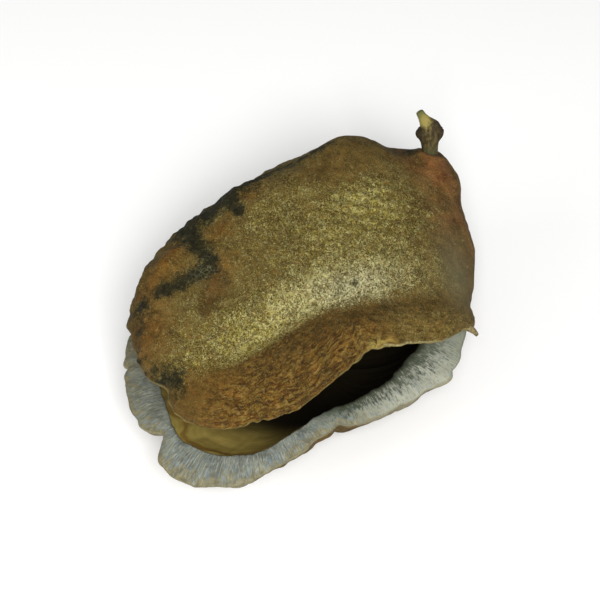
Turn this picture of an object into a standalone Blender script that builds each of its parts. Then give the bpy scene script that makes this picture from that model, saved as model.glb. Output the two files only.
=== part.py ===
"""A dried woody seed pod, split open along its seam like a clam, with its stalk.

The two valves are one grown piece: they stay joined round the stalk end and gape round the
rest of the seam. The pod lies on its lower valve. X runs from the pod's tip to its stalk,
Z is up, and the origin is the middle of the worn flat that it rests on. Lengths in the
tables are millimetres, and bearings are degrees round Z, from +X towards +Y.
"""

import math

import bmesh
import bpy
import numpy as np
from mathutils import Vector

MM = 0.001

# The seam, seen from above: bearing, reach of the lower valve's edge, height of that edge,
# gape up to the upper valve's edge, and how far the upper edge is set back from the lower.
SEAM = (
    (5, 51.0, 30.0, 0.0, 0.0),
    (18, 45.0, 28.5, 0.0, 0.0),
    (35, 39.5, 26.5, 0.0, 0.0),
    (55, 35.0, 25.0, 0.0, 0.0),
    (72, 33.5, 24.0, 0.6, 0.2),
    (90, 33.2, 22.5, 5.0, 1.2),
    (108, 35.6, 21.0, 9.0, 1.8),
    (125, 39.0, 20.0, 12.0, 1.8),
    (145, 44.2, 20.0, 13.5, 2.4),
    (160, 46.9, 20.0, 14.0, 3.0),
    (174, 49.5, 20.0, 14.0, 4.8),
    (185, 51.8, 20.0, 14.0, 5.8),
    (193, 50.9, 20.0, 14.0, 6.6),
    (202, 46.9, 20.0, 14.0, 6.8),
    (212, 39.2, 20.0, 14.0, 3.7),
    (225, 31.2, 20.0, 14.5, 1.6),
    (238, 29.8, 20.0, 15.5, 4.0),
    (252, 30.4, 20.0, 16.0, 6.6),
    (267, 30.8, 20.0, 14.5, 5.0),
    (282, 33.8, 20.5, 11.5, 3.0),
    (293, 35.6, 21.5, 8.0, 0.8),
    (300, 35.6, 23.0, 4.5, -1.8),
    (311, 36.8, 26.0, 0.0, 0.0),
    (330, 40.4, 27.0, 0.0, 0.0),
    (347, 44.0, 28.0, 0.0, 0.0),
    (356, 49.5, 30.5, 0.0, 0.0),
)
CLOSED_GAPE = 0.5  # under this the two edges are one
WIDE_GAPE = 8.0  # from this the valves bulge as if they had never been joined
COLUMNS = 96

# The groove at the tip, where both valves are pinched in.
TIP_BEARING = 174.0
TIP_WIDTH = 3.2
TIP_NOTCH_LOWER = 4.6
TIP_NOTCH_UPPER = 1.8

# The wall, which is thickest at the split faces, the lips.
LIP_WIDTH = 6.6
LIP_WIDTH_AT_TIP = 2.6
LIP_RISE = 1.4  # the inner edge of a lip stands this much above its outer edge
WALL = 4.6
STALK_WALL = 7.0  # how much thicker the wall is where the stalk sits
STALK_BEARING, STALK_WALL_SPREAD = 2.0, 18.0
FLOOR = 4.2
REST_FLAT = 2.0  # how much of the belly is worn away where the pod lies
LIP_HEEL = 1.2  # the skin drops this far at the edge of the lower lip, then turns under
BELLY_OVAL = (46.0, 34.0)  # half length and half width of the oval that the belly settles to

# How each side of a valve is drawn: rings of points from its lip to its middle, how soon it
# swells to its full height, and how upright it starts. The lower valve starts more upright
# the further its seam is closed.
UPPER_OUTER, UPPER_INNER = (11, 3.0, 2.6), (7, 2.5, 2.5)
LOWER_OUTER, LOWER_INNER = (9, 2.2), (6, 2.2)
CLOSED_STEEPNESS = 1.2
RING_CROWDING = 1.6  # above 1, rings lie closer together near the lip

# The crown of the upper valve: a ridge along the back, from which the top slopes forward.
RIDGE_Y = 16.0
CROWN_HEIGHT = 50.5
FORWARD_SLOPE = 0.27
BACKWARD_SLOPE = 0.10
# Low swells and hollows of the crown: x, y, radius and height.
SWELLS = (
    (-36.0, 8.0, 20.0, -5.0),
    (48.0, 4.0, 12.0, -6.0),
    (41.0, 9.0, 6.0, -2.5),
    (33.0, 15.0, 11.0, 4.2),
)
# The crease along the front of the upper valve, with the rolled brim in front of it: the two
# ends of the crease in plan, how far its middle bows back, its width and its depth.
CREASE_START, CREASE_END = (-33.0, -1.0), (20.0, -28.0)
CREASE_BOW, CREASE_WIDTH, CREASE_DEPTH = 2.5, 3.6, 1.8
CREASE_FADE = 14.0  # the higher, the shorter the stretch over which the crease fades out
CREASE_OVERRUN = 1.05  # where it fades out at the front, as a share of its length
BRIM_OFF, BRIM_WIDTH, BRIM_RISE = 8.0, 4.5, 1.2

# The stalk: x, y, z and radius along its middle line, from its foot in the pod to its tip.
STALK_FOOT = (45.4, 2.0, 34.8)
STALK_LINE = (
    (0.0, 0.0, 0.0, 2.3),
    (0.6, 0.6, 2.0, 2.2),
    (1.2, 1.2, 4.0, 2.1),
    (1.7, 1.8, 5.8, 2.3),
    (2.2, 2.3, 7.2, 2.7),
    (2.5, 2.7, 8.4, 3.2),
    (2.5, 3.1, 9.6, 2.4),
    (2.2, 3.9, 10.8, 1.6),
    (1.9, 4.6, 12.0, 1.1),
    (1.7, 5.4, 13.2, 0.9),
)
SOCKET_GAP = 0.35
SOCKET_LENGTH = 12.0  # the tool that cuts the socket runs out through the crown
# The beak: a small hooked point at the front corner of the upper valve.
BEAK_ROOT, BEAK_TIP = (17.0, -31.0, 29.2), (17.9, -35.2, 25.4)
BEAK_ROOT_RADIUS, BEAK_TIP_RADIUS = 1.6, 0.4


def clear_scene():
    for thing in list(bpy.data.objects):
        bpy.data.objects.remove(thing)


def material(name, colour, roughness):
    made = bpy.data.materials.new(name)
    made.use_nodes = True
    shader = made.node_tree.nodes["Principled BSDF"]
    shader.inputs["Base Color"].default_value = (*colour, 1.0)
    shader.inputs["Roughness"].default_value = roughness
    shader.inputs["Metallic"].default_value = 0.0
    return made


def round_curve(stations, values, bearings):
    """Values at any bearings, on a smooth closed curve through those at the stations."""
    stations = np.array(stations, float)
    values = np.array(values, float)
    at = np.concatenate([stations[-2:] - 360, stations, stations[:2] + 360])
    known = np.concatenate([values[-2:], values, values[:2]])
    slope = np.gradient(known, at)
    wanted = (np.asarray(bearings, float) - at[1]) % 360 + at[1]
    k = np.clip(np.searchsorted(at, wanted, side="right") - 1, 0, len(at) - 2)
    span = at[k + 1] - at[k]
    t = (wanted - at[k]) / span
    start = (1 + 2 * t) * (1 - t) ** 2 * known[k] + t * (1 - t) ** 2 * span * slope[k]
    end = t**2 * (3 - 2 * t) * known[k + 1] + t**2 * (t - 1) * span * slope[k + 1]
    return start + end


def even_bearings(count):
    """Bearings that share the seam's length out evenly, starting at the tip."""
    fine = TIP_BEARING + np.linspace(0, 360, 1441)
    reach = round_curve([s[0] for s in SEAM], [s[1] for s in SEAM], fine)
    x = reach * np.cos(np.radians(fine))
    y = reach * np.sin(np.radians(fine))
    run = np.concatenate([[0], np.cumsum(np.hypot(np.diff(x), np.diff(y)))])
    return np.interp(np.linspace(0, run[-1], count, endpoint=False), run, fine)


def seam_edges(bearings):
    """The outer and inner edges of both lips, as arrays of (reach, height) by bearing."""
    stations = [s[0] for s in SEAM]
    reach, height, gape, setback = (
        round_curve(stations, [s[c] for s in SEAM], bearings) for c in (1, 2, 3, 4)
    )
    gape = np.where(gape < CLOSED_GAPE, 0.0, gape)
    setback = np.where(gape == 0, 0.0, setback)
    pinch = np.exp(-(((bearings - TIP_BEARING + 180) % 360 - 180) / TIP_WIDTH) ** 2)
    from_stalk = (bearings - STALK_BEARING + 180) % 360 - 180
    by_stalk = np.exp(-((from_stalk / STALK_WALL_SPREAD) ** 2))
    lip = LIP_WIDTH + (LIP_WIDTH_AT_TIP - LIP_WIDTH) * pinch + STALK_WALL * by_stalk
    lower = reach - TIP_NOTCH_LOWER * pinch
    upper = reach - setback - TIP_NOTCH_UPPER * pinch
    return {
        "lower_outer": (lower, height),
        "lower_inner": (lower - lip, height + LIP_RISE),
        "upper_outer": (upper, height + gape),
        "upper_inner": (upper - lip, height + gape + LIP_RISE),
        "open": gape > 0,
        "joined": np.clip(1 - gape / WIDE_GAPE, 0, 1),
    }


def crease(x, y):
    """The crease along the front of the crown, less the rise of the brim in front of it."""
    (x0, y0), (x1, y1) = CREASE_START, CREASE_END
    length = math.hypot(x1 - x0, y1 - y0)
    ux, uy = (x1 - x0) / length, (y1 - y0) / length
    along = ((x - x0) * ux + (y - y0) * uy) / length
    bow = CREASE_BOW * (1 - (2 * along - 1) ** 2)
    behind = (x - x0) * -uy + (y - y0) * ux - bow
    share = 1 / (1 + np.exp(-CREASE_FADE * along))
    share = share / (1 + np.exp(CREASE_FADE * (along - CREASE_OVERRUN)))
    dip = CREASE_DEPTH * np.exp(-((behind / CREASE_WIDTH) ** 2))
    rise = BRIM_RISE * np.exp(-(((behind + BRIM_OFF) / BRIM_WIDTH) ** 2))
    return share * (rise - dip)


def crown(x, y):
    """Height of the upper valve's crown over a point of the plan."""
    behind = np.maximum(y - RIDGE_Y, 0)
    before = np.maximum(RIDGE_Y - y, 0)
    z = CROWN_HEIGHT - BACKWARD_SLOPE * behind - FORWARD_SLOPE * before
    for sx, sy, radius, height in SWELLS:
        z = z + height * np.exp(-((x - sx) ** 2 + (y - sy) ** 2) / radius**2)
    return z + crease(x, y)


def swell(inward, fullness, steepness):
    """From 0 at the edge of a valve to 1 at its middle; upright at the edge if steep."""
    return (1 - (1 - inward) ** fullness) ** (1 / steepness)


def valve_rings(bearings, edge, steps, top, fullness, steepness, heel=0.0):
    """Rings of points from a lip's edge in to the middle; top gives the height there."""
    reach, height = edge
    cos, sin = np.cos(np.radians(bearings)), np.sin(np.radians(bearings))
    oval = 1 / np.hypot(cos / BELLY_OVAL[0], sin / BELLY_OVAL[1])
    rings = []
    for inward in steps:
        out = (reach + (oval - reach) * inward) * (1 - inward)
        x, y = out * cos, out * sin
        z = height + (top(x, y) - height) * swell(inward, fullness, steepness)
        z = z - heel * (1 - np.exp(-inward * reach))
        rings.append(np.stack([x, y, z], axis=1))
    return rings


def steps_inward(count):
    """Shares of the way from the edge to the middle, close together near the edge."""
    return (np.arange(count + 1) / (count + 1)) ** RING_CROWDING


def add_grid(mesh, rings, outward, keep=None, middle=None):
    """Joins rings of points into faces, and the last ring to a middle point if there is one."""
    rows = [[mesh.verts.new(p * MM) for p in map(Vector, ring)] for ring in rings]
    count = len(rows[0])
    for near, far in zip(rows, rows[1:]):
        for i in range(count):
            j = (i + 1) % count
            if keep is not None and not (keep[i] or keep[j]):
                continue
            face = (near[i], near[j], far[j], far[i])
            mesh.faces.new(face if outward else face[::-1])
    if middle is None:
        return
    centre = mesh.verts.new(Vector(middle) * MM)
    for i in range(count):
        face = (rows[-1][i], rows[-1][(i + 1) % count], centre)
        mesh.faces.new(face if outward else face[::-1])


def pod_body(collection):
    """Both valves as one closed wall: outside, inside, and the lips between them."""
    bearings = even_bearings(COLUMNS)
    edges = seam_edges(bearings)
    steepness = 1 + CLOSED_STEEPNESS * edges["joined"]
    heel = LIP_HEEL * (1 - edges["joined"])
    mesh = bmesh.new()

    def surface(edge, top, count, fullness, steepness, outward, heel=0.0):
        steps = steps_inward(count)
        rings = valve_rings(bearings, edges[edge], steps, top, fullness, steepness, heel)
        for ring in rings:
            ring[:, 2] = np.maximum(ring[:, 2], 0.0)
        middle = (0.0, 0.0, max(float(top(0.0, 0.0)), 0.0))
        add_grid(mesh, rings, outward, middle=middle)

    surface("upper_outer", crown, *UPPER_OUTER, True)
    surface("upper_inner", lambda x, y: crown(x, y) - WALL, *UPPER_INNER, False)
    surface("lower_outer", lambda x, y: -REST_FLAT, *LOWER_OUTER, steepness, False, heel)
    surface("lower_inner", lambda x, y: FLOOR, *LOWER_INNER, steepness, True)
    for valve, outward in (("upper", False), ("lower", True)):
        lip = []
        for side in ("outer", "inner"):
            reach, height = edges[f"{valve}_{side}"]
            turn = np.radians(bearings)
            lip.append(np.stack([reach * np.cos(turn), reach * np.sin(turn), height], 1))
        add_grid(mesh, lip, outward, keep=edges["open"])
    bmesh.ops.remove_doubles(mesh, verts=mesh.verts, dist=0.01 * MM)
    data = bpy.data.meshes.new("pod")
    mesh.to_mesh(data)
    mesh.free()
    data.shade_smooth()
    pod = bpy.data.objects.new("pod", data)
    collection.objects.link(pod)
    pod.data.materials.append(material("pod_wall", (0.16, 0.12, 0.05), 0.75))
    return pod


def stalk_body(collection):
    """The stalk: a tube of changing thickness along its bent middle line."""
    line = bpy.data.curves.new("stalk", "CURVE")
    line.dimensions = "3D"
    line.bevel_depth = MM
    line.bevel_resolution = 4
    line.use_fill_caps = True
    spline = line.splines.new("POLY")
    spline.points.add(len(STALK_LINE) - 1)
    for point, (x, y, z, radius) in zip(spline.points, STALK_LINE):
        point.co = (x * MM, y * MM, z * MM, 1.0)
        point.radius = radius
    drawn = bpy.data.objects.new("stalk_line", line)
    collection.objects.link(drawn)
    view = bpy.context.evaluated_depsgraph_get()
    data = bpy.data.meshes.new_from_object(drawn.evaluated_get(view))
    bpy.data.objects.remove(drawn)
    mesh = bmesh.new()
    mesh.from_mesh(data)
    bmesh.ops.remove_doubles(mesh, verts=mesh.verts, dist=0.01 * MM)
    mesh.to_mesh(data)
    mesh.free()
    stalk = bpy.data.objects.new("stalk", data)
    stalk.location = Vector(STALK_FOOT) * MM
    collection.objects.link(stalk)
    data.materials.clear()
    data.materials.append(material("stalk_bark", (0.09, 0.07, 0.03), 0.7))
    return stalk


def cone_between(name, start, end, start_radius, end_radius, vertices):
    """A cone or a straight rod from one point to another, as an object of its own."""
    start, end = Vector(start) * MM, Vector(end) * MM
    bpy.ops.mesh.primitive_cone_add(
        vertices=vertices,
        radius1=start_radius * MM,
        radius2=end_radius * MM,
        depth=(end - start).length,
        location=(start + end) / 2,
        rotation=(end - start).to_track_quat("Z", "Y").to_euler(),
    )
    rod = bpy.context.object
    rod.name = name
    rod.hide_render = True
    rod.display_type = "WIRE"
    for owner in list(rod.users_collection):
        owner.objects.unlink(rod)
    return rod


def finish_pod(pod, helpers):
    """Adds the beak, and cuts the round scar that the stalk's foot sits in."""
    beak = cone_between(
        "beak", BEAK_ROOT, BEAK_TIP, BEAK_ROOT_RADIUS, BEAK_TIP_RADIUS, 12
    )
    foot = Vector(STALK_FOOT)
    lean = (Vector(STALK_LINE[2][:3]) - Vector(STALK_LINE[0][:3])).normalized()
    radius = STALK_LINE[0][3] + SOCKET_GAP
    cutter = cone_between(
        "socket", foot - lean * SOCKET_GAP, foot + lean * SOCKET_LENGTH, radius, radius, 24
    )
    for tool, operation in ((beak, "UNION"), (cutter, "DIFFERENCE")):
        helpers.objects.link(tool)
        step = pod.modifiers.new(tool.name, "BOOLEAN")
        step.operation = operation
        step.solver = "EXACT"
        step.object = tool


def main():
    clear_scene()
    parts = bpy.data.collections.new("seed_pod")
    helpers = bpy.data.collections.new("cutters")
    for collection in (parts, helpers):
        bpy.context.scene.collection.children.link(collection)
    pod = pod_body(parts)
    stalk_body(parts)
    finish_pod(pod, helpers)


main()
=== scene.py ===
import itertools
import math

import bpy
import numpy as np
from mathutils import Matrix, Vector


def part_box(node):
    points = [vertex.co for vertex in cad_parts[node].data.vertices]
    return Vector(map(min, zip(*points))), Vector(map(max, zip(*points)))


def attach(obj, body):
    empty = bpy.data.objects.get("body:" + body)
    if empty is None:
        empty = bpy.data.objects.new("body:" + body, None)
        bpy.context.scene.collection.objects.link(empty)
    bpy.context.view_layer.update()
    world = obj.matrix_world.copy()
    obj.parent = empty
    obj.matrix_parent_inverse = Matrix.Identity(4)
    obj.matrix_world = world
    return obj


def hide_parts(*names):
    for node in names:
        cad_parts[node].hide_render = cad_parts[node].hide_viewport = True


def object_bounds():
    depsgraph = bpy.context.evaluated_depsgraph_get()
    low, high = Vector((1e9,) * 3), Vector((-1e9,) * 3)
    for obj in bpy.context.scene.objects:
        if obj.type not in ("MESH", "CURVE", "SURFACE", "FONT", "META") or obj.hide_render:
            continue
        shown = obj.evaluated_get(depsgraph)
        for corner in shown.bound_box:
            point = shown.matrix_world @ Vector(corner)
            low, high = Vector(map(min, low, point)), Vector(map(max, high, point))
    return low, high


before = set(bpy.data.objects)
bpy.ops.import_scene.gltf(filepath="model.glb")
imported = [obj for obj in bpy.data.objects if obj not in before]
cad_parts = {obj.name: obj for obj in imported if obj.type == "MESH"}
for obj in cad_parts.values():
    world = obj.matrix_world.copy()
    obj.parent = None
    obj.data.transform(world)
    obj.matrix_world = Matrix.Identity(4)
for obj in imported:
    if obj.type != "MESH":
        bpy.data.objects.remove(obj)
cad_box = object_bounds()


# ---------------------------------------------------------------------------------------
# The pod: one dried woody fruit that has split along its seam. An upper and a lower valve
# gape round the tip and stay grown together round the stalk. The rind is brown and scurfy,
# the split lips show the pale fibres of the wall, and the hollow has a smooth lining.
# ---------------------------------------------------------------------------------------

pod_low, pod_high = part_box("pod")
POD_LENGTH = 102.5
MM = (pod_high[0] - pod_low[0]) / POD_LENGTH  # sizes below are in millimetres of this pod

# The seam, seen from above: bearing round Z in degrees, reach of the lower valve's edge,
# height of that edge, gape up to the upper valve's edge, and setback of the upper edge.
SEAM = (
    (5, 51.0, 30.0, 0.0, 0.0),
    (18, 45.0, 28.5, 0.0, 0.0),
    (35, 39.5, 26.5, 0.0, 0.0),
    (55, 35.0, 25.0, 0.0, 0.0),
    (72, 33.5, 24.0, 0.6, 0.2),
    (90, 33.2, 22.5, 5.0, 1.2),
    (108, 35.6, 21.0, 9.0, 1.8),
    (125, 39.0, 20.0, 12.0, 1.8),
    (145, 44.2, 20.0, 13.5, 2.4),
    (160, 46.9, 20.0, 14.0, 3.0),
    (174, 49.5, 20.0, 14.0, 4.8),
    (185, 51.8, 20.0, 14.0, 5.8),
    (193, 50.9, 20.0, 14.0, 6.6),
    (202, 46.9, 20.0, 14.0, 6.8),
    (212, 39.2, 20.0, 14.0, 3.7),
    (225, 31.2, 20.0, 14.5, 1.6),
    (238, 29.8, 20.0, 15.5, 4.0),
    (252, 30.4, 20.0, 16.0, 6.6),
    (267, 30.8, 20.0, 14.5, 5.0),
    (282, 33.8, 20.5, 11.5, 3.0),
    (293, 35.6, 21.5, 8.0, 0.8),
    (300, 35.6, 23.0, 4.5, -1.8),
    (311, 36.8, 26.0, 0.0, 0.0),
    (330, 40.4, 27.0, 0.0, 0.0),
    (347, 44.0, 28.0, 0.0, 0.0),
    (356, 49.5, 30.5, 0.0, 0.0),
)
TIP_BEARING, TIP_WIDTH = 174.0, 3.2
TIP_NOTCH_LOWER, TIP_NOTCH_UPPER = 4.6, 1.8
STALK_BEARING, STALK_SPREAD = 2.0, 18.0
LIP_WIDTH, LIP_WIDTH_AT_TIP, LIP_RISE = 6.6, 2.6, 1.4
LEAST_LIP, LEAST_GAPE = 2.4, 0.5
WALL, STALK_WALL, FLOOR_THICKNESS = 4.6, 7.0, 4.2
REST_FLAT, LIP_HEEL = 2.0, 1.2
BELLY_OVAL = (46.0, 34.0)
RIDGE_Y, CROWN_HEIGHT = 16.0, 50.5
FORWARD_SLOPE, BACKWARD_SLOPE = 0.27, 0.10
# Swells and hollows of the crown: place in plan, radius and rise.
SWELLS = (
    (-36.0, 8.0, 20.0, -5.0),
    (48.0, 4.0, 12.0, -6.0),
    (41.0, 9.0, 6.0, -2.5),
    (33.0, 15.0, 11.0, 4.2),
)
# The long crease along the front of the crown, and the brim that rolls up below it.
CREASE_START, CREASE_END = np.array((-33.0, -1.0)), np.array((20.0, -28.0))
CREASE_LENGTH = np.linalg.norm(CREASE_END - CREASE_START)
CREASE_BOW, CREASE_WIDTH, CREASE_DEPTH = 2.5, 3.6, 1.8
CREASE_FADE, CREASE_STOP = 14.0, 1.05
BRIM_OFF, BRIM_WIDTH, BRIM_RISE = 8.0, 4.5, 1.2
# Marks on the seam, each a bearing, a width in degrees and a size: bites out of the lower
# valve's edge, lobes that stand out from it, and stretches where the lip is wider.
BITES = (
    (148.5, 0.9, 1.5),
    (203.0, 0.5, 0.5),
    (233.0, 1.4, 0.7),
    (262.0, 1.1, 0.6),
    (287.0, 1.0, 0.7),
)
LOBES = ((284.0, 5.0, 1.5), (269.0, 4.0, 0.6))
WIDE_LIPS = ((163.0, 8.0, 2.6), (287.0, 15.0, 3.4))

COLUMNS = 480  # points round the seam
CROWN_RINGS, ROOF_RINGS, BELLY_RINGS, LIP_RINGS = 66, 26, 40, 14
RING_CROWDING = 1.35  # rings lie closer together near the rim
EVENING = 20.0  # points round the seam over which an evened line loses its lobes


def smooth_share(value, start, end):
    """0 before start, 1 after end, and a smooth rise between."""
    share = np.clip((value - start) / (end - start), 0, 1)
    return share * share * (3 - 2 * share)


def lumps(points, size, seed):
    """Soft lumps between about -1 and 1, about size across, the same at every run."""
    slopes = np.random.default_rng(seed).normal(size=(16, 16, 16, 3))
    slopes /= np.linalg.norm(slopes, axis=-1, keepdims=True)
    at = points / size + 0.37 * seed
    cell = np.floor(at).astype(int)
    part = at - cell
    blend = part**3 * (part * (part * 6 - 15) + 10)
    total = np.zeros(len(points))
    for corner in itertools.product((0, 1), repeat=3):
        slope = slopes[tuple(((cell + corner) % 16).T)]
        weight = np.where(corner, blend, 1 - blend).prod(axis=1)
        total += weight * ((part - corner) * slope).sum(axis=1)
    return 1.7 * total


def round_curve(values, bearings):
    """Values at any bearings, on a smooth closed curve through those of the seam."""
    stations = np.array([station[0] for station in SEAM], float)
    at = np.concatenate([stations[-2:] - 360, stations, stations[:2] + 360])
    known = np.concatenate([values[-2:], values, values[:2]])
    slope = np.gradient(known, at)
    wanted = (bearings - at[1]) % 360 + at[1]
    k = np.clip(np.searchsorted(at, wanted, side="right") - 1, 0, len(at) - 2)
    span = at[k + 1] - at[k]
    t = (wanted - at[k]) / span
    start = (1 + 2 * t) * (1 - t) ** 2 * known[k] + t * (1 - t) ** 2 * span * slope[k]
    end = t**2 * (3 - 2 * t) * known[k + 1] + t**2 * (t - 1) * span * slope[k + 1]
    return start + end


# Points are spaced evenly along the seam, which is first measured in finer steps.
seam = np.array(SEAM)
fine = TIP_BEARING + np.linspace(0, 360, 6 * COLUMNS + 1)
fine_reach = round_curve(seam[:, 1], fine)
fine_x, fine_y = fine_reach * np.cos(np.radians(fine)), fine_reach * np.sin(np.radians(fine))
fine_run = np.concatenate([[0], np.cumsum(np.hypot(np.diff(fine_x), np.diff(fine_y)))])
seam_length = fine_run[-1]
run = np.linspace(0, seam_length, COLUMNS, endpoint=False)
bearing = np.interp(run, fine_run, fine)
turn = 2 * math.pi * run / seam_length
hoop = np.stack([np.cos(turn), np.sin(turn), 0 * turn], 1) * seam_length / (2 * math.pi)

reach, height, gape, setback = (round_curve(column, bearing) for column in seam.T[1:])
gape = np.where(gape < LEAST_GAPE, 0, gape)
setback = np.where(gape == 0, 0, setback)
openness = smooth_share(gape, 0.0, 5.0)
joined = np.clip(1 - gape / 8, 0, 1)
from_tip = (bearing - TIP_BEARING + 180) % 360 - 180
pinch = np.exp(-((from_tip / TIP_WIDTH) ** 2))
by_stalk = np.exp(-(((bearing - STALK_BEARING + 180) % 360 - 180) / STALK_SPREAD) ** 2)
lip = LIP_WIDTH + (LIP_WIDTH_AT_TIP - LIP_WIDTH) * pinch + STALK_WALL * by_stalk


def frayed(coarse, middling, small, seed):
    """A ragged line round the seam, from chips, scallops and nibbles of those depths."""
    line = coarse * lumps(hoop, 8.0, seed) + middling * lumps(hoop, 3.0, seed + 1)
    return openness * (line + small * lumps(hoop, 1.3, seed + 2))


def marked(marks):
    """The sum of soft marks on the seam, each at a bearing, with a width and a size."""
    return sum(
        size * np.exp(-((((bearing - at + 180) % 360 - 180) / wide) ** 2)) for at, wide, size in marks
    )


lower_reach = reach - TIP_NOTCH_LOWER * pinch + frayed(0.5, 0.4, 0.12, 11) - marked(BITES)
lower_reach += marked(LOBES)
upper_reach = reach - setback - TIP_NOTCH_UPPER * pinch + frayed(0.5, 0.45, 0.4, 21)
lower_height = height + frayed(0.4, 0.2, 0.05, 31)
upper_height = height + gape + frayed(0.6, 0.35, 0.25, 41)
inner_fray = frayed(0.5, 0.35, 0.12, 51)
lip = lip + marked(WIDE_LIPS)


def evened(values, half_width):
    """Values round the seam, evened out over so many points to each side."""
    weights = np.exp(-((np.arange(-half_width, half_width + 1) / EVENING) ** 2))
    return np.convolve(np.tile(values, 3), weights / weights.sum(), "same")[COLUMNS : 2 * COLUMNS]


# The hollow's mouth is rounder than the rim outside it, which has lobes.
round_reach = evened(reach, 48)
inner_reach = evened(np.minimum(lower_reach - LEAST_LIP, round_reach - lip), 18) + inner_fray
edges = {
    "lower_outer": (lower_reach, lower_height),
    "lower_inner": (inner_reach, lower_height + LIP_RISE),
    "upper_outer": (upper_reach, upper_height),
    "upper_inner": (upper_reach - lip, upper_height + LIP_RISE),
}


def beside_crease(x, y):
    """Millimetres along the crease from its left end, and behind its bowed line."""
    way = (CREASE_END - CREASE_START) / CREASE_LENGTH
    dx, dy = x - CREASE_START[0], y - CREASE_START[1]
    along = dx * way[0] + dy * way[1]
    bow = CREASE_BOW * (1 - (2 * along / CREASE_LENGTH - 1) ** 2)
    return along, dy * way[0] - dx * way[1] - bow


def crown(x, y):
    """Height of the upper valve's crown, with its swells, its crease and its brim."""
    z = CROWN_HEIGHT - BACKWARD_SLOPE * np.maximum(y - RIDGE_Y, 0)
    z = z - FORWARD_SLOPE * np.maximum(RIDGE_Y - y, 0)
    for sx, sy, radius, rise in SWELLS:
        z = z + rise * np.exp(-((x - sx) ** 2 + (y - sy) ** 2) / radius**2)
    along, behind = beside_crease(x, y)
    fade_in = 1 / (1 + np.exp(-CREASE_FADE * along / CREASE_LENGTH))
    share = fade_in / (1 + np.exp(CREASE_FADE * (along / CREASE_LENGTH - CREASE_STOP)))
    dip = CREASE_DEPTH * np.exp(-((behind / CREASE_WIDTH) ** 2))
    rise = BRIM_RISE * np.exp(-(((behind + BRIM_OFF) / BRIM_WIDTH) ** 2))
    return z + share * (rise - dip)


SKIN, LIP, LINING = 0, 1, 2  # the zones of the surface
rings, zones, valves, from_rims, shares, quads = [], [], [], [], [], []


def lay_rings(new_rings, zone, valve, from_rim, share, outward, keep=None):
    """Adds rings of points to the pod, and the faces between them."""
    first = len(rings) * COLUMNS
    columns = np.arange(COLUMNS)
    beyond = (columns + 1) % COLUMNS
    for k in range(len(new_rings) - 1):
        near, far = first + k * COLUMNS, first + (k + 1) * COLUMNS
        face = np.stack([near + columns, near + beyond, far + beyond, far + columns], 1)
        if keep is not None:
            face = face[keep | keep[beyond]]
        quads.append(face if outward else face[:, ::-1])
    rings.extend(new_rings)
    zones.extend([zone] * len(new_rings))
    valves.extend([valve] * len(new_rings))
    from_rims.extend(from_rim)
    shares.extend(share)


def lay_valve(valve, side, steps, top, fullness, steepness, outward, heel=0.0, least=-1e9):
    """Lays one side of a valve, from its lip in to the middle, where it closes."""
    edge_reach, edge_height = edges[f"{valve}_{side}"]
    zone = SKIN if side == "outer" else LINING
    cos, sin = np.cos(np.radians(bearing)), np.sin(np.radians(bearing))
    oval = 1 / np.hypot(cos / BELLY_OVAL[0], sin / BELLY_OVAL[1])
    laid = []
    for inward in (np.arange(steps + 1) / steps) ** RING_CROWDING:
        out = (edge_reach + (oval - edge_reach) * inward) * (1 - inward)
        x, y = out * cos, out * sin
        swell = (1 - (1 - inward) ** fullness) ** (1 / steepness)
        z = edge_height + (top(x, y) - edge_height) * swell
        z = z - heel * (1 - np.exp(-inward * edge_reach))
        laid.append(np.stack([x, y, np.maximum(z, least)], 1))
    paces = np.linalg.norm(np.diff(laid, axis=0), axis=2)
    from_rim = np.cumsum(np.vstack([lip if zone == LINING else 0 * lip, paces]), axis=0)
    lay_rings(laid, zone, valve, list(from_rim), [float(zone == LINING)] * len(laid), outward)


def lay_lip(valve, crowned, outward):
    """Lays the split face of a valve's wall, from the rind in to the lining."""
    (out_reach, out_height), (in_reach, in_height) = (
        edges[f"{valve}_{side}"] for side in ("outer", "inner")
    )
    cos, sin = np.cos(np.radians(bearing)), np.sin(np.radians(bearing))
    laid, steps = [], np.linspace(0, 1, LIP_RINGS + 1)
    for share in steps:
        r = out_reach + (in_reach - out_reach) * share
        z = out_height + (in_height - out_height) * share
        z = z + openness * crowned * math.sin(math.pi * share)
        laid.append(np.stack([r * cos, r * sin, z], 1))
    lay_rings(laid, LIP, valve, [share * lip for share in steps], list(steps), outward, gape > 0)


def roof(x, y):
    """The hollow's roof, a wall's thickness below the crown."""
    return crown(x, y) - WALL


def underside(x, y):
    """The plane that the belly is cut flat by, a little below the table."""
    return 0 * x - REST_FLAT


def hollow_floor(x, y):
    """The floor of the hollow."""
    return 0 * x + FLOOR_THICKNESS


# The lower valve is fuller where it is joined to the upper one, and its open edge has a
# small heel under the lip. Round the front, the crown comes down to the rim as a brim.
bowl = 1 + 1.2 * joined
heel = LIP_HEEL * (1 - joined)
front = smooth_share(bearing % 360, 176, 198) * (1 - smooth_share(bearing % 360, 272, 294))
lay_valve("upper", "outer", CROWN_RINGS, crown, 3.0, 2.6 - front, outward=True)
lay_valve("upper", "inner", ROOF_RINGS, roof, 2.5, 2.5, outward=False)
lay_valve("lower", "outer", BELLY_RINGS, underside, 2.2, bowl, outward=False, heel=heel, least=0.0)
lay_valve("lower", "inner", BELLY_RINGS, hollow_floor, 2.2, bowl, outward=True)
lay_lip("upper", crowned=-0.3, outward=False)
lay_lip("lower", crowned=0.5, outward=True)

points = np.concatenate(rings)
zone = np.repeat(zones, COLUMNS)
from_rim = np.concatenate(from_rims)
share = np.repeat(shares, COLUMNS)
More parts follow.
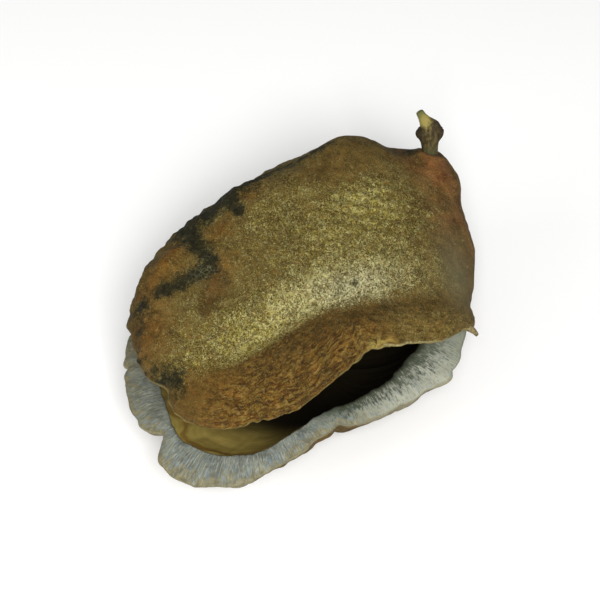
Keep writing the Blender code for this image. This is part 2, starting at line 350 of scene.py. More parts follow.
# Along the seam, each point counts from the foot of its square to the rim.
SLANT_REACH = 12.0
slope = np.gradient(round_reach, np.radians(bearing))
slant = slope / np.hypot(slope, round_reach)
run_at = np.tile(run, len(rings)) - np.minimum(from_rim, SLANT_REACH) * np.tile(slant, len(rings))
turn_at = 2 * math.pi * run_at / seam_length
hoops = np.stack([np.cos(turn_at), np.sin(turn_at), 0 * turn_at], 1) * seam_length / (2 * math.pi)
bearings = np.tile(bearing, len(rings))
upper = np.repeat([valve == "upper" for valve in valves], COLUMNS)
openness_at = np.tile(openness, len(rings))
# Where two sheets share a line, their points become one.
_, kept, merged = np.unique(np.round(points, 5), axis=0, return_index=True, return_inverse=True)
merged = merged.reshape(-1)
on_lip, lined, on_skin = (
    np.bincount(merged, zone == kind, len(kept)) > 0 for kind in (LIP, LINING, SKIN)
)
points, from_rim, share, hoops, bearings, upper, openness_at = (
    values[kept] for values in (points, from_rim, share, hoops, bearings, upper, openness_at)
)
on_lip &= openness_at > 0
corners = merged[np.concatenate(quads)].tolist()
corners = [[i for n, i in enumerate(face) if face[n - 1] != i] for face in corners]
corners = [face for face in corners if len(set(face)) > 2]

shell = bpy.data.meshes.new("pod_shell")
shell.from_pydata(points.tolist(), [], corners)
shell.update()
links = np.empty(2 * len(shell.edges), int)
shell.edges.foreach_get("vertices", links)
links = links.reshape(-1, 2)
neighbours = np.bincount(links.ravel(), minlength=len(points))


def beside(values):
    """The mean of each point's neighbours."""
    total = np.zeros_like(values)
    np.add.at(total, links[:, 0], values[links[:, 1]])
    np.add.at(total, links[:, 1], values[links[:, 0]])
    return total / (neighbours if values.ndim == 1 else neighbours[:, None])


# The corners between rind, lip and lining are worn round.
WEARING_PASSES = 3
corner_points = (on_lip & (lined | on_skin)).astype(float)
worn = np.clip(2 * beside(corner_points) + corner_points, 0, 1)
for _ in range(WEARING_PASSES):
    points = points + 0.5 * worn[:, None] * (beside(points) - points)

lip_share = on_lip.astype(float)
lining_share = (lined & ~on_lip & ~on_skin).astype(float)
skin_share = (on_skin & ~on_lip).astype(float)
x, y, z = points.T
crown_skin = skin_share * upper
along, behind = beside_crease(x, y)


def near_line(*stations):
    """How close each point of the plan is to a line, from 1 on it to 0 away from it.

    Each station of the line is a place in plan and the line's half width there.
    """
    best = np.zeros(len(x))
    stations = np.array(stations, float)
    for start, end in zip(stations, stations[1:]):
        way = (end - start)[:2]
        part = np.clip(((x - start[0]) * way[0] + (y - start[1]) * way[1]) / (way @ way), 0, 1)
        away = np.hypot(x - start[0] - part * way[0], y - start[1] - part * way[1])
        width = start[2] + (end[2] - start[2]) * part
        best = np.maximum(best, np.exp(-((away / width) ** 2)))
    return best


def patch(centre, length, width, lean=0.0):
    """A soft oval patch in plan; its length leans by so many degrees from X."""
    cos, sin = math.cos(math.radians(lean)), math.sin(math.radians(lean))
    dx, dy = x - centre[0], y - centre[1]
    return np.exp(-(((dx * cos + dy * sin) / length) ** 2) - ((dy * cos - dx * sin) / width) ** 2)


def patches(*ovals):
    """The sum of soft patches, each a strength and then the oval's own measures."""
    return sum(strength * patch(*oval) for strength, *oval in ovals)


# Black mould lies in the fold left of the ridge, along the back, by the stalk and at the tip.
fold = np.max(
    (
        near_line(
            (7, 26, 3.6), (0, 25.5, 5.4), (-6, 27, 4.8),
            (-12, 27.5, 4.0), (-15, 23.0, 3.0), (-16.2, 17.5, 1.7),
        ),
        near_line((-16.2, 17.2, 2.2), (-18.6, 14, 3.0), (-23.4, 16.2, 2.3), (-29.5, 18.8, 1.5)),
        near_line((-1, 24, 3.4), (-3.6, 18.0, 1.4)),
        0.95 * patch((-33.0, 21.0), 3.0, 2.2, 30),
        0.8 * patch((-37.5, 17.0), 2.6, 1.5, 40),
    ),
    axis=0,
)
stalk_mould = patches((0.9, (43.6, 6.4), 3.6, 2.2), (0.8, (39.5, 9), 2.5, 1.5))
back_band = near_line((4, 25, 3.4), (12, 22.8, 3.0), (20, 19.4, 2.6), (26, 16.5, 1.4))
apex_pit = patch((-41.4, 3.3), 3.6, 3.2, 70)
tip_spots = near_line((-41, 15, 1.0), (-43.0, 10, 1.7), (-43.2, 6.4, 1.5))
tip_spots *= np.clip(0.5 + lumps(points, 1.8, seed=17), 0, 1)
speck = patch((1.5, -11.2), 0.9, 0.6, 20)
mould = fold + 0.75 * back_band + 0.9 * apex_pit + 1.2 * speck + 0.8 * tip_spots + stalk_mould

# The shape of the rind: lumps, a valley in the fold, bumps beside it, a collar at the stalk.
valley = near_line((-2, 26, 3.5), (-16, 17, 4.0), (-24, 16.5, 3.6), (-31, 16, 2.5))
red_streak = near_line((-18, 12, 1.6), (-20, 10, 2.3), (-23, 9.2, 2.2), (-26, 8, 1.2))
dish = patch((25, -23), 9, 5.5, 50)
bumps = patches(
    (1.3, (-24, 22), 7, 3.0, 20),
    (2.2, (1, 24), 6, 4),
    (1.7, (43.4, -1.0), 4, 4),
    (1.0, (43.4, 5.0), 3, 2.4),
)
COLLAR_CENTRE, COLLAR_RADIUS, COLLAR_WIDTH = (45.9, 2.5), 3.0, 1.4
from_stalk = np.hypot(x - COLLAR_CENTRE[0], y - COLLAR_CENTRE[1])
collar = np.exp(-(((from_stalk - COLLAR_RADIUS) / COLLAR_WIDTH) ** 2))

relief = 0.5 * lumps(points, 13, seed=1)
relief += 0.36 * lumps(points, 5.5, seed=2) + 0.2 * lumps(points, 2.4, seed=3)
relief += (0.3 + 0.6 * (y > 12)) * 0.25 * lumps(points, 3.6, seed=15)
relief += 0.45 * crown_skin * smooth_share(y - 0.25 * x, 16, 22) * lumps(points, 2.2, seed=18)
# The brim is wrinkled along the rim.
brim = upper * on_skin * smooth_share(-behind, -2, 5) * smooth_share(bearings % 360, 180, 200)
seamwise = np.stack([hoops[:, 0], hoops[:, 1], from_rim], 1)
wrinkles = lumps(seamwise * (0.22, 0.22, 1.0), 1.5, seed=4)
wrinkles += 0.6 * lumps(seamwise * (0.4, 0.4, 1.3), 1.2, seed=5)
relief += 0.36 * brim * wrinkles
# Fine ripples cross the crown in front of the stalk.
RIPPLE_WAY, RIPPLE_PITCH = (0.755, 0.656), 2.9
ripple_phase = (x * RIPPLE_WAY[0] + y * RIPPLE_WAY[1]) * 2 * math.pi / RIPPLE_PITCH
ripple = np.sin(ripple_phase + 2.2 * lumps(points, 5, seed=6))
relief += crown_skin * 0.22 * patch((18, -1), 15, 8, -41) * ripple
relief += crown_skin * (0.8 * collar - 0.9 * dish)
relief -= crown_skin * (0.35 * fold + 0.9 * valley + 0.9 * apex_pit + 0.8 * red_streak + 0.35 * speck)
relief += crown_skin * bumps
relief += crown_skin * back_band * 0.3 * lumps(points, 2.0, seed=7)
# Where the rims stay joined, the seam is a shallow furrow.
relief -= 0.35 * on_skin * (1 - openness_at) * np.exp(-((from_rim / 0.8) ** 2))

# The lip is ribbed by its fibres, the lining is nearly smooth, and the flat to rest on is flat.
fibres = lumps(seamwise * (1.0, 1.0, 0.16), 0.9, seed=8)
lip_relief = 0.14 * fibres + 0.3 * lumps(points, 4.0, seed=9) + 0.12 * lumps(points, 1.6, seed=10)
lining_relief = 0.12 * lumps(points, 8, seed=12)
relief = relief * skin_share + lip_share * lip_relief * (1 - 0.4 * on_skin)
relief += lining_share * lining_relief
relief *= np.where(upper, 1, smooth_share(z, 0.1, 3.0) + (lining_share > 0))

normals = np.empty(3 * len(points))
shell.vertices.foreach_set("co", points.ravel())
shell.update()
shell.vertices.foreach_get("normal", normals)
points = points + relief[:, None] * normals.reshape(-1, 3)
points[:, 2] = np.maximum(points[:, 2], 0)
shell.vertices.foreach_set("co", (points * MM).ravel())
shell.update()
shell.shade_smooth()
pod_shell = bpy.data.objects.new("pod_shell", shell)
bpy.context.scene.collection.objects.link(pod_shell)


def tag(mesh, name, values):
    """Stores a number or a vector at each point, for the mesh's material to read."""
    kind, key = ("FLOAT", "value") if values.ndim == 1 else ("FLOAT_VECTOR", "vector")
    layer = mesh.attributes.new(name, kind, "POINT")
    layer.data.foreach_set(key, values.astype(np.float32).ravel())


# How thick the pale scurf lies: thickest in the trough behind the crease, thin on the slopes.
trough = behind + 3.6 * smooth_share(-x, 6, 26)
pale = smooth_share(trough, -2.0, 3.5) * (1 - 0.36 * smooth_share(behind, 5, 13))
pale *= (1 - 0.42 * smooth_share(y, 1, 8)) * smooth_share(x, -46, -35)
pale *= 0.45 + 0.55 * smooth_share(along, -8, 12) * (1 - smooth_share(along, 40, 62))
pale *= 0.84 + 0.3 * patch((-1, -10), 15, 4.5, -27)
pale *= 1 - patches((0.35, (-20, 5), 7, 4), (0.4, (-11, 1), 9, 3.5), (0.35, (13, -19), 7, 5))
pale *= 1 - 0.6 * patch((24, 13), 14, 6, -20) - 0.6 * smooth_share(x - 0.8 * y, 38, 52)
pale += 0.12 * patch((-30, 9), 8, 5, 20) + 0.24 * patch((18, 0), 12, 5, -41) * (1.2 + ripple)
pale += patches((0.2, (1, 12), 8, 5), (0.15, (-38, 6), 5, 6))

# Where the rind is worn to amber: on the brim, beside the mould and at both ends.
amber_spots = patches(
    (1.1, (-9.5, 18.5), 4.5, 3.6, 20),
    (0.95, (-21.5, 22.5), 7, 3.8, 20),
    (0.8, (-30, 23), 5, 3, 30),
    (0.8, (-37, 15), 5, 5),
    (0.9, (-17.5, 11.8), 4, 2.4),
    (0.8, (2, 19.5), 5, 2.6),
    (0.4, (44, 2), 7, 8),
    (0.65, (-38, -2), 8, 7),
    (0.4, (13, 3), 9, 2.0, -41),
    (0.3, (20, 11), 9, 5, -20),
)
amber_brim = 0.95 * brim * (1 - 0.75 * smooth_share(bearings % 360, 252, 278))
amber = np.clip(amber_brim + amber_spots, 0, 1)
pale *= 1 - 0.32 * np.clip(amber_spots, 0, 1)
pale *= 1 - 0.6 * red_streak
pale += 0.22 * brim * smooth_share(bearings % 360, 250, 280)

# Dark brown: painted shade in the crease and in a band along the back edge, where the crown turns from
# the light, and real dark brown in patches under the ridge, in the red streak and at the tip.
# Painted shade along the lower bank of the crease.
umber_and_painted_shade = 0.9 * np.exp(-(((trough + 3.0) / 2.6) ** 2)) * smooth_share(along, 2, 16)
umber_and_painted_shade *= 1 - 0.75 * smooth_share(along, 38, 52)
umber_and_painted_shade += patches((0.45, (20, 12), 10, 5, -25), (0.6, (7, 3), 12, 2.2, -41), (0.3, (-39, 5), 6, 5))
umber_and_painted_shade += 2.0 * red_streak + 0.7 * tip_spots
umber_and_painted_shade += 0.6 * patch((-14, 4), 7, 3, -30) * (0.5 + 0.5 * lumps(points, 3, seed=16))
# Painted shade in a band along the back edge of the crown.
umber_and_painted_shade += near_line(
    (-41, 15, 2), (-35, 25, 3), (-26, 29, 4), (-10, 31, 4), (6, 30, 4), (20, 25, 2)
)
# A reddish flush by the stalk and down the right side.
red = 0.15 * red_streak + patches(
    (0.9, (42, 2), 8, 5, 60),
    (0.8, (40, -6), 14, 5, 65),
    (0.5, (29, -17), 10, 6, 50),
    (0.25, (-38, 14), 5, 6),
)
# Where the lip turns darker green toward the hollow, on the front right.
inner_green = smooth_share(bearings % 360, 214, 236) * (1 - smooth_share(bearings % 360, 292, 304))

# Where the valves are joined, the finish of one passes softly into the other's.
beyond_seam = openness_at + (1 - openness_at) * smooth_share(from_rim, 0, 9)
side = 0.5 + np.where(upper, 0.5, -0.5) * beyond_seam
BELLY_AMBER = 0.28
FAR_FROM_RIM = 10.0  # added where there is no torn edge
for name, values in (
    ("lip", lip_share),
    ("lining", lining_share),
    ("seamwise", seamwise),
    ("rim", from_rim + FAR_FROM_RIM * (1 - on_skin * openness_at)),
    ("gold", upper * patch((-4.4, -23.8), 2.8, 1.3, -35)),
    ("lower", (1.0 - upper) * openness_at),
    ("chalky", patch((1, -11.5), 15, 5, -27)),
    ("crazed", patch((-18.0, 14.5), 5.5, 3.0, 10)),
    ("across", share),
    ("pale", side * pale),
    ("brim", brim),
    ("amber", side * amber + (1 - side) * BELLY_AMBER),
    ("umber_and_painted_shade", side * np.clip(umber_and_painted_shade, 0, 1)),
    ("mould", side * np.clip(mould, 0, 1)),
    ("red", side * np.clip(red, 0, 1)),
    ("grey", side * patch((24, -24), 9, 5, 50)),
    ("inner_green", inner_green),
    ("lip_right", smooth_share(bearings % 360, 232, 262)),
    # Painted shadow: the lip's right end, under the upper valve.
    ("lip_end_painted_shadow", smooth_share(bearings % 360, 282, 298)),
    # Painted shade: share of the lining coloured near black, rising from the tip end into the hollow.
    ("painted_hollow_shade", smooth_share(x + 0.35 * y, -39, -22)),
    ("upper_lip", upper.astype(float)),
    ("lip_left", 1 - smooth_share(bearings % 360, 168, 178)),
    ("brim_right", brim * smooth_share(bearings % 360, 245, 275)),
):
    tag(shell, name, values)


def srgb(red, green, blue):
    """A colour given as screen values from 0 to 255, as the shader wants it."""
    shares = (value / 255 for value in (red, green, blue))
    linear = (c / 12.92 if c < 0.0404 else ((c + 0.055) / 1.055) ** 2.4 for c in shares)
    return (*linear, 1.0)


class Finish:
    """A node material, with a short call for each kind of node that it needs."""

    def __init__(self, name):
        self.material = bpy.data.materials.new(name)
        self.material.use_nodes = True
        self.tree = self.material.node_tree
        self.shader = self.tree.nodes["Principled BSDF"]

    def node(self, kind, inputs, **settings):
        """A new node, its inputs linked or set, and its settings made."""
        made = self.tree.nodes.new(kind)
        for key, value in settings.items():
            setattr(made, key, value)
        for key, value in inputs.items():
            if isinstance(value, bpy.types.NodeSocket):
                self.tree.links.new(value, made.inputs[key])
            else:
                made.inputs[key].default_value = value
        return made

    def tagged(self, name):
        """A number stored on the mesh under this name."""
        return self.node("ShaderNodeAttribute", {}, attribute_name=name).outputs["Fac"]

    def tagged_vector(self, name):
        """A vector stored on the mesh under this name."""
        return self.node("ShaderNodeAttribute", {}, attribute_name=name).outputs["Vector"]

    def place(self):
        """Position in millimetres."""
        where = self.node("ShaderNodeTexCoord", {}).outputs["Object"]
        return self.scaled(where, (1 / MM, 1 / MM, 1 / MM))

    def scaled(self, vector, scale):
        """The vector times a scale for each axis, which draws a pattern out."""
        return self.node("ShaderNodeMapping", {"Vector": vector, "Scale": scale}).outputs["Vector"]

    def noise(self, vector, size, detail=3.0, roughness=0.55, distortion=0.0):
        """Cloudy noise about 0.5, with clouds about size millimetres across."""
        inputs = {"Vector": vector, "Scale": 1 / size, "Detail": detail}
        inputs.update({"Roughness": roughness, "Distortion": distortion})
        return self.node("ShaderNodeTexNoise", inputs).outputs["Fac"]

    def cells(self, vector, size, feature="F1"):
        """Distance to the middle or edge of cells about size millimetres across."""
        inputs = {"Vector": vector, "Scale": 1 / size}
        return self.node("ShaderNodeTexVoronoi", inputs, feature=feature).outputs["Distance"]

    def rise(self, value, start, end, low=0.0, high=1.0):
        """A smooth passage from low to high as the value goes from start to end."""
        inputs = {"Value": value, "From Min": start, "From Max": end, "To Min": low, "To Max": high}
        made = self.node("ShaderNodeMapRange", inputs, interpolation_type="SMOOTHSTEP")
        return made.outputs["Result"]

    def sum(self, *values):
        """All the values added."""
        return self.chain("ADD", values)

    def product(self, *values):
        """All the values multiplied."""
        return self.chain("MULTIPLY", values)

    def chain(self, operation, values):
        """The values taken together two by two, in order."""
        total = values[0]
        for value in values[1:]:
            total = self.node("ShaderNodeMath", {0: total, 1: value}, operation=operation).outputs[0]
        return total

    def mix(self, share, first, second):
        """The first colour where share is 0 and the second where it is 1."""
        made = self.node("ShaderNodeMix", {0: share, 6: first, 7: second}, data_type="RGBA")
        return made.outputs[2]

    def coat(self, under, tone, *shares):
        """A tone laid over what is there already, as thick as the product of the shares."""
        return self.mix(self.product(*shares), under, tone)

    def bumps(self, *layers):
        """Bump from pairs of height and depth in millimetres, one over the other."""
        normal = None
        for height, depth in layers:
            inputs = {"Height": height, "Distance": depth * MM, "Strength": 1.0}
            if normal is not None:
                inputs["Normal"] = normal
            normal = self.node("ShaderNodeBump", inputs).outputs["Normal"]
        self.tree.links.new(normal, self.shader.inputs["Normal"])

    def feed(self, **sockets):
        """Sets or links inputs of the shader, named with underscores for spaces."""
        for name, value in sockets.items():
            key = name.replace("_", " ").title()
            if isinstance(value, bpy.types.NodeSocket):
                self.tree.links.new(value, self.shader.inputs[key])
            else:
                self.shader.inputs[key].default_value = value


rind = Finish("pod_rind_lip_and_lining")
place = rind.place()
grain = rind.tagged_vector("seamwise")
pale_share, mould_share = rind.tagged("pale"), rind.tagged("mould")
right_part = rind.product(rind.tagged("brim_right"), 0.6)
brim_share = rind.chain("SUBTRACT", (rind.tagged("brim"), right_part))

# The rind: olive brown, mottled; amber on the brim and in patches, drawn out along the rim.
OLIVE_DARK, OLIVE, OLIVE_LIGHT = srgb(68, 54, 22), srgb(108, 88, 42), srgb(112, 94, 48)
AMBER_DARK, AMBER = srgb(76, 46, 9), srgb(122, 80, 17)
STREAK_PALE, STREAK_DARK = srgb(134, 106, 46), srgb(54, 30, 9)
STRAND_PALE, STRAND_DARK = srgb(150, 128, 72), srgb(52, 32, 12)
UMBER_AND_SHADE, CLOUD, PIT = srgb(66, 50, 20), srgb(70, 50, 20), srgb(40, 29, 10)
FLUSH_DARK, FLUSH = srgb(96, 52, 24), srgb(140, 92, 52)
mottle = rind.noise(place, 4.5, 4, 0.6, 0.4)
blotch = rind.noise(place, 1.5, 3, 0.6, 0.3)
cloud = rind.noise(place, 8.0, 3, 0.55, 0.5)
grit = rind.noise(place, 0.36, 2, 0.6, 1.6)
streak = rind.noise(rind.scaled(grain, (0.26, 0.26, 1.0)), 0.95, 4, 0.62, 0.7)
strand = rind.noise(rind.scaled(grain, (0.3, 0.3, 1.0)), 0.42, 3, 0.6, 0.5)
skin = rind.mix(rind.rise(mottle, 0.36, 0.64), OLIVE_DARK, OLIVE)
skin = rind.coat(skin, OLIVE_LIGHT, rind.rise(blotch, 0.4, 0.68, 0, 0.5))
amber_tone = rind.mix(rind.rise(blotch, 0.3, 0.7), AMBER_DARK, AMBER)
skin = rind.coat(skin, amber_tone, rind.tagged("amber"), rind.rise(mottle, 0.3, 0.6, 0.55, 1.0))
skin = rind.coat(skin, STREAK_PALE, brim_share, rind.rise(streak, 0.5, 0.61, 0, 0.85))
skin = rind.coat(skin, STREAK_DARK, brim_share, rind.rise(streak, 0.49, 0.39, 0, 0.92))
skin = rind.coat(skin, STRAND_PALE, brim_share, rind.rise(strand, 0.52, 0.66, 0, 0.7))
skin = rind.coat(skin, STRAND_DARK, brim_share, rind.rise(strand, 0.47, 0.33, 0, 0.75))
# Dark brown, partly painted shade in the crease and along the back edge, partly real dark patches.
skin = rind.coat(skin, UMBER_AND_SHADE, rind.tagged("umber_and_painted_shade"), rind.rise(blotch, 0.3, 0.6, 0.9, 0.55))
red_tone = rind.mix(rind.rise(mottle, 0.35, 0.65), FLUSH_DARK, FLUSH)
skin = rind.coat(skin, red_tone, rind.tagged("red"), rind.rise(cloud, 0.35, 0.6, 0.45, 0.95))
skin = rind.coat(skin, CLOUD, rind.rise(cloud, 0.5, 0.3, 0, 0.5))
skin = rind.coat(skin, PIT, rind.rise(grit, 0.48, 0.34, 0, 0.72))

# The scurf: fine pale grains with dark gaps, thick in places and worn thin in others.
GRAIN_DARK, GRAIN, GRAIN_CHALKY = srgb(160, 147, 72), srgb(178, 170, 108), srgb(182, 178, 138)
GAP, PORE = srgb(78, 66, 26), srgb(92, 76, 26)
RUST, RUST_DARK, GREY_RIND = srgb(130, 84, 32), srgb(58, 44, 16), srgb(104, 97, 70)
crust = rind.rise(rind.noise(place, 3.2, 3, 0.6), 0.25, 0.75, -0.04, 0.04)
thickness = rind.sum(rind.rise(pale_share, 0, 1.0, -0.085, 0.045), crust)
grains = rind.rise(rind.sum(grit, thickness), 0.4, 0.6)
grain_tone = rind.mix(rind.rise(blotch, 0.35, 0.65), GRAIN_DARK, GRAIN)
grain_tone = rind.coat(grain_tone, GRAIN_CHALKY, rind.tagged("chalky"), 0.8)
skin = rind.coat(skin, GAP, rind.rise(pale_share, 0.15, 0.8, 0, 0.6))
skin = rind.coat(skin, grain_tone, grains, rind.rise(pale_share, 0.0, 0.5, 0.22, 0.95))
pores = rind.rise(rind.cells(place, 2.6), 0.3, 0.16, 0, 0.65)
pore_share = rind.product(rind.rise(pale_share, 0.2, 0.7), rind.rise(mottle, 0.4, 0.55))
skin = rind.coat(skin, PORE, pore_share, pores)
rust = rind.noise(place, 0.8, 3, 0.65, 0.8)
skin = rind.coat(skin, RUST, rind.rise(rust, 0.56, 0.68, 0, 0.45))
skin = rind.coat(skin, RUST_DARK, rind.rise(rust, 0.42, 0.32, 0, 0.5))
skin = rind.coat(skin, GREY_RIND, rind.tagged("grey"), rind.rise(blotch, 0.3, 0.7, 0.9, 0.6))

# Black mould in the fold and along the back, crazed with pale cracks.
MOULD_BLACK, MOULD_GREEN, MOULD_CRACK = srgb(14, 17, 9), srgb(50, 50, 29), srgb(112, 114, 88)
ragged = rind.product(rind.rise(rind.noise(place, 2.4, 6, 0.75), 0.25, 0.75, -0.55, 0.55), 0.8)
mould_edge = rind.sum(mould_share, ragged, rind.rise(grit, 0.3, 0.7, 0.16, -0.16))
fuzz = rind.noise(place, 0.8, 3, 0.7, 0.6)
mould_tone = rind.mix(rind.rise(fuzz, 0.4, 0.7), MOULD_BLACK, MOULD_GREEN)
cracks = rind.rise(rind.cells(place, 0.95, "DISTANCE_TO_EDGE"), 0.08, 0.02)
crazed = rind.product(rind.tagged("crazed"), rind.rise(mottle, 0.38, 0.55))
mould_tone = rind.coat(mould_tone, MOULD_CRACK, cracks, crazed, 0.7)
skin = rind.coat(skin, mould_tone, rind.rise(mould_edge, 0.16, 0.84), 0.92)

# The torn edge of the rind is bare and pale, with a gilt patch on the brim.
GILT, EDGE, EDGE_PALE, UNDER_EDGE = (
    srgb(176, 158, 82), srgb(140, 128, 74), srgb(184, 174, 124), srgb(140, 136, 110)
)
skin = rind.coat(skin, GILT, rind.tagged("gold"), rind.rise(blotch, 0.35, 0.6), 0.85)
rim_far = rind.tagged("rim")
edge_far = rind.sum(
    rim_far, rind.rise(rind.tagged("brim_right"), 0, 1, 0, -0.5), rind.rise(blotch, 0.3, 0.7, -0.35, 0.45)
)
edge_tone = rind.mix(rind.product(rind.tagged("brim_right"), 0.8), EDGE, EDGE_PALE)
skin = rind.coat(skin, edge_tone, rind.rise(edge_far, 0.6, 0.2), 0.7)
under_far = rind.sum(
    rim_far, rind.rise(rind.tagged("lip_right"), 0, 1, 0, -3.6), rind.rise(blotch, 0.3, 0.7, -0.8, 0.8)
)
skin = rind.coat(skin, UNDER_EDGE, rind.tagged("lower"), rind.rise(under_far, 2.2, 0.8), 0.8)

# The lip: grey fibres across the wall, tan along the rind, darker green toward the hollow on the front
# right, with painted shadow of the upper valve greying its right end.
LIP_GREY_DARK, LIP_GREY, LIP_PALE = srgb(98, 102, 94), srgb(124, 128, 116), srgb(168, 170, 154)
FIBRE_PALE, FIBRE_DARK, FLECK_BLUE = srgb(164, 168, 156), srgb(76, 78, 64), srgb(112, 127, 134)
TAN_DARK, TAN, TAN_EDGE = srgb(96, 86, 52), srgb(140, 128, 88), srgb(100, 94, 64)
LIP_GREEN_DARK, PAINTED_LIP_SHADOW, LIP_GREEN_EDGE = srgb(48, 56, 36), srgb(92, 98, 82), srgb(40, 42, 28)
UPPER_LIP_DARK, UPPER_LIP, LEFT_LIP = srgb(92, 74, 34), srgb(128, 110, 58), srgb(74, 72, 54)
fibre = rind.noise(rind.scaled(grain, (1.0, 1.0, 0.22)), 0.32, 3, 0.6, 0.2)
fleck = rind.noise(rind.scaled(grain, (1.0, 1.0, 0.8)), 1.2, 4, 0.65)
across_lip = rind.tagged("across")
split = rind.mix(rind.rise(mottle, 0.38, 0.62), LIP_GREY_DARK, LIP_GREY)
split = rind.coat(split, LIP_PALE, rind.tagged("lip_right"), 0.85)
split = rind.coat(split, FIBRE_PALE, rind.rise(fibre, 0.5, 0.68, 0, 0.6))
split = rind.coat(split, FIBRE_DARK, rind.rise(fibre, 0.48, 0.34, 0, 0.45))
split = rind.coat(split, FLECK_BLUE, rind.rise(fleck, 0.5, 0.7, 0, 0.5))
tan_edge = rind.sum(across_lip, rind.rise(fleck, 0.3, 0.7, -0.3, 0.3))
tan_fade = rind.rise(rind.tagged("lip_right"), 0, 1, 1, 0.35)
tan_tone = rind.mix(rind.rise(blotch, 0.35, 0.65), TAN_DARK, TAN)
split = rind.coat(split, tan_tone, rind.rise(tan_edge, 0.5, 0.0, 0, 0.6), tan_fade)
split = rind.coat(split, TAN_EDGE, rind.rise(across_lip, 0.08, 0.0, 0, 0.35))
inner_green_edge = rind.sum(
    across_lip, rind.rise(fibre, 0.3, 0.7, -0.35, 0.35), rind.rise(fleck, 0.3, 0.7, -0.2, 0.2)
)
# Darker green toward the hollow on the front right of the lip, darkest at its inner edge.
split = rind.coat(split, LIP_GREEN_DARK, rind.tagged("inner_green"), rind.rise(inner_green_edge, 0.26, 0.82, 0, 0.85))
# Painted shadow of the upper valve's overhang, greying the lip's right end.
split = rind.coat(split, PAINTED_LIP_SHADOW, rind.tagged("lip_end_painted_shadow"), 0.55)
split = rind.coat(split, LIP_GREEN_EDGE, rind.tagged("inner_green"), rind.rise(across_lip, 0.8, 0.97, 0, 0.8))
upper_tone = rind.mix(rind.rise(blotch, 0.35, 0.65), UPPER_LIP_DARK, UPPER_LIP)
split = rind.coat(split, upper_tone, rind.tagged("upper_lip"), 0.9)
split = rind.coat(split, LEFT_LIP, rind.tagged("lip_left"), 0.35)

# The lining: smooth, olive brown, with faint streaks along the seam, and painted shade, near black, over
# all of the hollow but its tip end.
LINING_DARK, LINING_PALE, LINING_SHADE = srgb(150, 131, 66), srgb(172, 152, 82), srgb(14, 11, 7)
BAND, BLUSH = srgb(112, 76, 26), srgb(110, 80, 38)
lining_streak = rind.noise(rind.scaled(grain, (0.1, 0.1, 0.8)), 1.5, 3, 0.55, 0.2)
lined_wall = rind.mix(rind.rise(lining_streak, 0.3, 0.7), LINING_DARK, LINING_PALE)
lip_far = rind.sum(rim_far, rind.rise(mottle, 0.3, 0.7, -1.0, 1.0))
band_top, band_foot = rind.rise(lip_far, 20.5, 18.5, 0, 0.6), rind.rise(lip_far, 16.8, 17.8, 0.1, 1.0)
lined_wall = rind.coat(lined_wall, BAND, band_top, band_foot)
lined_wall = rind.coat(lined_wall, BLUSH, rind.rise(mottle, 0.5, 0.75, 0, 0.3))
# Painted shade: the hollow under the upper valve is coloured near black, all but toward the tip.
lined_wall = rind.coat(lined_wall, LINING_SHADE, rind.tagged("painted_hollow_shade"), 0.99)

lip_mask, lining_mask = rind.tagged("lip"), rind.tagged("lining")
not_lining = rind.rise(lining_mask, 0.0, 0.6, 1.0, 0.05)
rough_skin = rind.product(not_lining, rind.rise(lip_mask, 0.0, 0.6, 1.0, 0.15))
rind.bumps(
    (rind.product(rough_skin, grains), 0.2),
    (rind.product(lip_mask, fibre), 0.3),
    (rind.product(brim_share, streak), 0.9),
    (rind.product(rough_skin, blotch), 0.5),
)
rind.feed(
    base_color=rind.mix(lining_mask, rind.mix(lip_mask, skin, split), lined_wall),
    roughness=rind.rise(lining_mask, 0.0, 1.0, 0.85, 0.55),
)
rind.shader.inputs["Specular IOR Level"].default_value = 0.12
shell.materials.append(rind.material)
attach(pod_shell, "root")
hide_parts("pod")


# ---------------------------------------------------------------------------------------
# The beak: the small hooked point at the front corner of the upper valve, the dried end of
# the flower's style. It is woody and bent down, and it grows out of the rim.
# ---------------------------------------------------------------------------------------

# Each station is a point of the middle line and the radius there.
BEAK_LINE = (
    (16.4, -30.4, 29.4, 1.6),
    (16.9, -32.0, 29.0, 0.9),
    (17.3, -33.2, 28.2, 0.65),
    (17.6, -34.0, 27.2, 0.45),
)
BEAK_DARK, BEAK_PALE = srgb(74, 62, 34), srgb(124, 110, 70)


def along_curve(line, at):
    """Points on a smooth curve through a line's points, which at counts from 0."""
    padded = np.vstack([2 * line[0] - line[1], line, 2 * line[-1] - line[-2]])
    k = np.minimum(at.astype(int), len(line) - 2)
    t = (at - k)[:, None]
    before, start, end, after = (padded[k + n] for n in range(4))
    return 0.5 * (
        2 * start
        + (end - before) * t
        + (2 * before - 5 * start + 4 * end - after) * t**2
        + (3 * start - before - 3 * end + after) * t**3
    )


